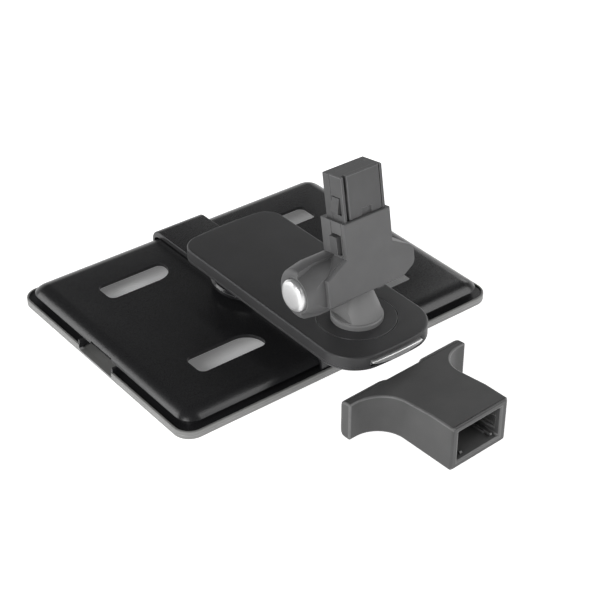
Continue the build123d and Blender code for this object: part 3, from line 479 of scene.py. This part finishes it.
def screw_tree():
    """Cross-headed screws on a mesh's points, each with its head at the point and its shank along +Z."""
    tree = bpy.data.node_groups.new("cross_head_screws", "GeometryNodeTree")
    tree.interface.new_socket("Geometry", in_out="INPUT", socket_type="NodeSocketGeometry")
    for name in ("Head radius", "Head height", "Shank radius", "Shank length", "Recess"):
        tree.interface.new_socket(name, in_out="INPUT", socket_type="NodeSocketFloat")
    tree.interface.new_socket("Rotation", in_out="INPUT", socket_type="NodeSocketVector")
    tree.interface.new_socket("Material", in_out="INPUT", socket_type="NodeSocketMaterial")
    tree.interface.new_socket("Geometry", in_out="OUTPUT", socket_type="NodeSocketGeometry")
    given = tree.nodes.new("NodeGroupInput").outputs
    wire = tree.links.new

    def times(value, factor):
        product = add_node(tree, "ShaderNodeMath", operation="MULTIPLY")
        wire(value, product.inputs[0])
        product.inputs[1].default_value = factor
        return product.outputs[0]

    def along_z(value):
        place = tree.nodes.new("ShaderNodeCombineXYZ")
        wire(value, place.inputs["Z"])
        return place.outputs[0]

    def raised(mesh, height):
        moved = tree.nodes.new("GeometryNodeTransform")
        wire(mesh, moved.inputs["Geometry"])
        wire(along_z(height), moved.inputs["Translation"])
        return moved.outputs[0]

    # Head: a pan that narrows towards the recess
    pan = add_node(tree, "GeometryNodeMeshCone", Vertices=HEAD_SIDES)
    wire(times(given["Head radius"], PAN_TAPER), pan.inputs["Radius Bottom"])
    wire(given["Head radius"], pan.inputs["Radius Top"])
    wire(times(given["Head height"], PAN_HEIGHT), pan.inputs["Depth"])
    skirt = add_node(tree, "GeometryNodeMeshCylinder", Vertices=HEAD_SIDES)
    wire(given["Head radius"], skirt.inputs["Radius"])
    wire(times(given["Head height"], SKIRT_HEIGHT), skirt.inputs["Depth"])
    union = add_node(tree, "GeometryNodeMeshBoolean", operation="UNION", solver="EXACT")
    wire(pan.outputs["Mesh"], union.inputs["Mesh 2"])
    wire(raised(skirt.outputs["Mesh"], times(given["Head height"], SKIRT_MIDDLE)), union.inputs["Mesh 2"])
    # Cross recess
    bars = []
    for turned in (False, True):
        bar = tree.nodes.new("GeometryNodeMeshCube")
        size = tree.nodes.new("ShaderNodeCombineXYZ")
        long_way, short_way = ("Y", "X") if turned else ("X", "Y")
        wire(times(given["Recess"], 2.0), size.inputs[long_way])
        wire(times(given["Recess"], RECESS_WIDTH), size.inputs[short_way])
        wire(times(given["Head height"], RECESS_DEPTH), size.inputs["Z"])
        wire(size.outputs[0], bar.inputs["Size"])
        bars.append(bar.outputs["Mesh"])
    head = add_node(tree, "GeometryNodeMeshBoolean", operation="DIFFERENCE", solver="EXACT")
    wire(union.outputs["Mesh"], head.inputs["Mesh 1"])
    for bar in bars:
        wire(bar, head.inputs["Mesh 2"])
    # Plain shank under the head
    shank = add_node(tree, "GeometryNodeMeshCylinder", Vertices=SHANK_SIDES)
    wire(given["Shank radius"], shank.inputs["Radius"])
    wire(given["Shank length"], shank.inputs["Depth"])
    middle = add_node(tree, "ShaderNodeMath", operation="MULTIPLY_ADD")
    wire(given["Shank length"], middle.inputs[0])
    middle.inputs[1].default_value = 0.5
    wire(given["Head height"], middle.inputs[2])
    whole = tree.nodes.new("GeometryNodeJoinGeometry")
    wire(head.outputs["Mesh"], whole.inputs[0])
    wire(raised(shank.outputs["Mesh"], middle.outputs[0]), whole.inputs[0])
    # One screw on each point
    spread = tree.nodes.new("GeometryNodeInstanceOnPoints")
    wire(given["Geometry"], spread.inputs["Points"])
    wire(whole.outputs[0], spread.inputs["Instance"])
    wire(given["Rotation"], spread.inputs["Rotation"])
    real = tree.nodes.new("GeometryNodeRealizeInstances")
    wire(spread.outputs[0], real.inputs[0])
    coat = tree.nodes.new("GeometryNodeSetMaterial")
    wire(real.outputs[0], coat.inputs["Geometry"])
    wire(given["Material"], coat.inputs["Material"])
    wire(coat.outputs[0], tree.nodes.new("NodeGroupOutput").inputs[0])
    return tree


def screw_places(node, way):
    """Middle of each screw's head in a CAD group, and the screws' length."""
    faces = bmesh.new()
    faces.from_mesh(frame["nodes"][node].data)
    bmesh.ops.remove_doubles(faces, verts=faces.verts, dist=MERGE)
    left = set(faces.verts)
    places = []
    length = 0.0
    while left:
        island = [left.pop()]
        for vert in island:
            near = {edge.other_vert(vert) for edge in vert.link_edges} & left
            left -= near
            island.extend(near)
        reach = [vert.co.dot(way) for vert in island]
        rim = [vert.co for vert, there in zip(island, reach) if there < min(reach) + MERGE]
        low = Vector([min(point[axis] for point in rim) for axis in range(3)])
        high = Vector([max(point[axis] for point in rim) for axis in range(3)])
        places.append((low + high) / 2)
        length = max(reach) - min(reach)
    faces.free()
    return places, length


def lay_screws(node, tree, shape):
    """Screws of one group as a plain mesh in place of the CAD ones."""
    way = SCREW_WAYS[node]
    places, length = screw_places(node, way)
    dots = bpy.data.meshes.new(node + "_dots")
    dots.from_pydata(places, [], [])
    maker = link(bpy.data.objects.new(node + "_maker", dots))
    values = {
        "Head radius": shape.screw_head,
        "Head height": shape.screw_head_height,
        "Shank radius": shape.screw_shank,
        "Shank length": length - shape.screw_head_height,
        "Recess": shape.screw_recess,
        "Rotation": way.to_track_quat("Z", "Y").to_euler()[:],
        "Material": finish_of(SLOT_OF[node]),
    }
    modifier = maker.modifiers.new("screws", "NODES")
    modifier.node_group = tree
    for item in tree.interface.items_tree:
        if item.in_out == "INPUT" and item.name in values:
            modifier[item.identifier] = values[item.name]
    depsgraph = bpy.context.evaluated_depsgraph_get()
    mesh = bpy.data.meshes.new_from_object(maker.evaluated_get(depsgraph))
    bpy.data.objects.remove(maker)
    mesh.name = node + "_dressed"
    for face in mesh.polygons:
        face.use_smooth = True
    mesh.set_sharp_from_angle(angle=SHARP_ANGLE)
    settle(link(bpy.data.objects.new(node + "_dressed", mesh)), node)


def lay_spring(node):
    """A spring, copied in its finish and fixed in place."""
    piece = link(bpy.data.objects.new(node + "_dressed", clean_mesh(node, node + "_dressed")))
    piece.data.materials.append(finish_of(SLOT_OF[node]))
    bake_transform(piece)
    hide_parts(node)


def paint(node):
    """A CAD node that keeps its own mesh and gets its finish."""
    mesh = frame["nodes"][node].data
    mesh.materials.clear()
    mesh.materials.append(finish_of(SLOT_OF[node]))


# Operators
class TABLETMOUNT_OT_tray(bpy.types.Operator):
    """Dress the tray's shell, bezel, strap and swivel base"""

    bl_idname = "tablet_mount.tray"
    bl_label = "Tray"

    def execute(self, context):
        shape = context.scene.mount_shape
        dress_shell(shape.soft_edge)
        for node in ("tray_bezel", "back_strap", "swivel_base"):
            dress(node, shape.soft_edge)
        return {"FINISHED"}


class TABLETMOUNT_OT_arm(bpy.types.Operator):
    """Dress the arm's two halves and its silver release tab"""

    bl_idname = "tablet_mount.arm"
    bl_label = "Arm"

    def execute(self, context):
        shape = context.scene.mount_shape
        dress("arm_cover", shape.soft_edge, clamped=False)
        dress("arm_base", shape.soft_edge)
        dress("release_tab", shape.soft_edge, clamped=False)
        return {"FINISHED"}


class TABLETMOUNT_OT_neck(bpy.types.Operator):
    """Dress the turntable and the neck that stands on it"""

    bl_idname = "tablet_mount.neck"
    bl_label = "Turntable and neck"

    def execute(self, context):
        shape = context.scene.mount_shape
        dress("turntable_disc", shape.crisp_edge)
        dress("neck", shape.crisp_edge)
        return {"FINISHED"}


class TABLETMOUNT_OT_hub(bpy.types.Operator):
    """Dress the tilting hub's front plate and its two halves"""

    bl_idname = "tablet_mount.hub"
    bl_label = "Tilting hub"

    def execute(self, context):
        shape = context.scene.mount_shape
        for node in ("hub_cover", "hub_housing", "hub_back"):
            dress(node, shape.soft_edge)
        return {"FINISHED"}


class TABLETMOUNT_OT_button(bpy.types.Operator):
    """Dress the silver push button in the barrel's end"""

    bl_idname = "tablet_mount.button"
    bl_label = "Push button"

    def execute(self, context):
        dress("tilt_button", context.scene.mount_shape.crisp_edge)
        return {"FINISHED"}


class TABLETMOUNT_OT_plug(bpy.types.Operator):
    """Dress the plug, its front plate and its latches"""

    bl_idname = "tablet_mount.plug"
    bl_label = "Plug and latches"

    def execute(self, context):
        shape = context.scene.mount_shape
        for node in ("plug_core", "plug_back", "latch_left", "latch_right"):
            dress(node, shape.crisp_edge)
        plate = dress("plug_plate", shape.crisp_edge).data
        middle = sum(vert.co.x for vert in plate.vertices) / len(plate.vertices)
        for vert in plate.vertices:
            if vert.co.x > middle:
                vert.co.x += shape.plate_reach
        return {"FINISHED"}


class TABLETMOUNT_OT_adapter(bpy.types.Operator):
    """Dress the loose headrest adapter"""

    bl_idname = "tablet_mount.adapter"
    bl_label = "Headrest adapter"

    def execute(self, context):
        dress("headrest_adapter", context.scene.mount_shape.broad_edge, clamped=False)
        return {"FINISHED"}


class TABLETMOUNT_OT_screws(bpy.types.Operator):
    """Lay the cross-headed screws of the tray, arm, turntable and hub"""

    bl_idname = "tablet_mount.screws"
    bl_label = "Screws"

    def execute(self, context):
        tree = screw_tree()
        for node in SCREW_WAYS:
            lay_screws(node, tree, context.scene.mount_shape)
        return {"FINISHED"}


class TABLETMOUNT_OT_inner(bpy.types.Operator):
    """Finish the pins, washers and springs inside"""

    bl_idname = "tablet_mount.inner"
    bl_label = "Inner pieces"

    def execute(self, context):
        for node in (
                "swivel_washer", "swivel_pin", "swivel_nut", "turntable_washer", "turntable_retainer",
                "tilt_spindle", "friction_washers", "latch_pins"):
            paint(node)
        for node in SPRINGS:
            lay_spring(node)
        return {"FINISHED"}


def softbox(name, power, place, width, height):
    """A rectangular light that faces the mount."""
    lamp = bpy.data.lights.new(name, "AREA")
    lamp.shape = "RECTANGLE"
    lamp.size = width
    lamp.size_y = height
    lamp.energy = power
    box = link(bpy.data.objects.new(name, lamp))
    box.location = place
    box.rotation_euler = (LIT_POINT - Vector(place)).to_track_quat("-Z", "Y").to_euler()


class TABLETMOUNT_OT_stage(bpy.types.Operator):
    """Lay the floor, set the light and place the camera"""

    bl_idname = "tablet_mount.stage"
    bl_label = "Floor, light and camera"

    def execute(self, context):
        scene = context.scene
        stage = scene.mount_stage
        self.lay_floor(stage)
        for name, power, place, width, height in SOFTBOXES:
            softbox(name, getattr(stage, power), place, width, height)
        self.set_walls(scene, stage)
        scene.view_settings.view_transform = "Standard"
        self.place_camera(scene)
        return {"FINISHED"}

    def lay_floor(self, stage):
        """White paper that is lit from below, all but the piece that the tray stands on."""
        mesh = bpy.data.meshes.new("floor")
        corners = []
        for half_x, half_y in (FLOOR_HALF, PATCH_HALF):
            for way_x, way_y in ((-1, -1), (1, -1), (1, 1), (-1, 1)):
                corners.append((way_x * half_x, way_y * half_y, 0))
        faces = []
        for corner in range(4):
            following = (corner + 1) % 4
            faces.append((corner, following, following + 4, corner + 4))
        # The patch comes last
        faces.append((4, 5, 6, 7))
        mesh.from_pydata(corners, [], faces)
        floor = link(bpy.data.objects.new("floor", mesh))
        for name, glow in (("lit_floor", stage.glow), ("floor_under_tray", stage.under)):
            paper = moulded_plastic(
                name, stage.floor,
                roughness=0.6, grain=500.0, depth=0.01 * MM, mottle=0.01, specular=0.2)
            shader = paper.node_tree.nodes["Principled BSDF"]
            shader.inputs["Emission Color"].default_value = (1, 1, 1, 1)
            shader.inputs["Emission Strength"].default_value = glow
            mesh.materials.append(paper)
        mesh.polygons[-1].material_index = 1

    def set_walls(self, scene, stage):
        """Surroundings that are white at the horizon and dark overhead."""
        world = bpy.data.worlds.new("studio_walls")
        scene.world = world
        world.use_nodes = True
        nodes = world.node_tree.nodes
        links = world.node_tree.links
        background = nodes["Background"]
        background.inputs["Color"].default_value = (1, 1, 1, 1)
        coords = nodes.new("ShaderNodeTexCoord")
        height = nodes.new("ShaderNodeSeparateXYZ")
        links.new(coords.outputs["Generated"], height.inputs[0])
        fall = nodes.new("ShaderNodeMapRange")
        fall.interpolation_type = "SMOOTHSTEP"
        fall.inputs["From Min"].default_value = math.sin(WALL_LOW)
        fall.inputs["From Max"].default_value = math.sin(WALL_HIGH)
        fall.inputs["To Min"].default_value = stage.horizon
        fall.inputs["To Max"].default_value = stage.zenith
        links.new(height.outputs["Z"], fall.inputs["Value"])
        links.new(fall.outputs["Result"], background.inputs["Strength"])

    def place_camera(self, scene):
        """The camera at the photograph's viewing angle."""
        lens = bpy.data.cameras.new("photo_camera")
        lens.sensor_width = SENSOR
        lens.lens = FOCAL_PIXELS / FRAME_PIXELS * SENSOR
        lens.clip_start = NEAR_CLIP
        camera = link(bpy.data.objects.new("photo_camera", lens))
        camera.location = EYE
        camera.rotation_euler = (LOOK_AT - EYE).to_track_quat("-Z", "Y").to_euler()
        scene.camera = camera


class TABLETMOUNT_PT_sidebar(bpy.types.Panel):
    """Lists the steps that dress the mount"""

    bl_idname = "TABLETMOUNT_PT_sidebar"
    bl_label = "Headrest tablet mount"
    bl_space_type = "VIEW_3D"
    bl_region_type = "UI"
    bl_category = "Tablet mount"

    def draw(self, context):
        for operator in OPERATORS:
            self.layout.operator(operator.bl_idname)


GROUPS = (TabletMountFinish, TabletMountShape, TabletMountStage)
OPERATORS = (
    TABLETMOUNT_OT_tray, TABLETMOUNT_OT_arm, TABLETMOUNT_OT_neck, TABLETMOUNT_OT_hub,
    TABLETMOUNT_OT_button, TABLETMOUNT_OT_plug, TABLETMOUNT_OT_adapter, TABLETMOUNT_OT_screws,
    TABLETMOUNT_OT_inner, TABLETMOUNT_OT_stage,
)


def register():
    for part in (*GROUPS, *OPERATORS, TABLETMOUNT_PT_sidebar):
        bpy.utils.register_class(part)
    bpy.types.Scene.mount_finish = PointerProperty(type=TabletMountFinish)
    bpy.types.Scene.mount_shape = PointerProperty(type=TabletMountShape)
    bpy.types.Scene.mount_stage = PointerProperty(type=TabletMountStage)


def unregister():
    del bpy.types.Scene.mount_finish
    del bpy.types.Scene.mount_shape
    del bpy.types.Scene.mount_stage
    for part in reversed((*GROUPS, *OPERATORS, TABLETMOUNT_PT_sidebar)):
        bpy.utils.unregister_class(part)


def main():
    register()
    bpy.ops.tablet_mount.tray()
    bpy.ops.tablet_mount.arm()
    bpy.ops.tablet_mount.neck()
    bpy.ops.tablet_mount.hub()
    bpy.ops.tablet_mount.button()
    bpy.ops.tablet_mount.plug()
    bpy.ops.tablet_mount.adapter()
    bpy.ops.tablet_mount.screws()
    bpy.ops.tablet_mount.inner()
    bpy.ops.tablet_mount.stage()


if __name__ == "__main__":
    main()
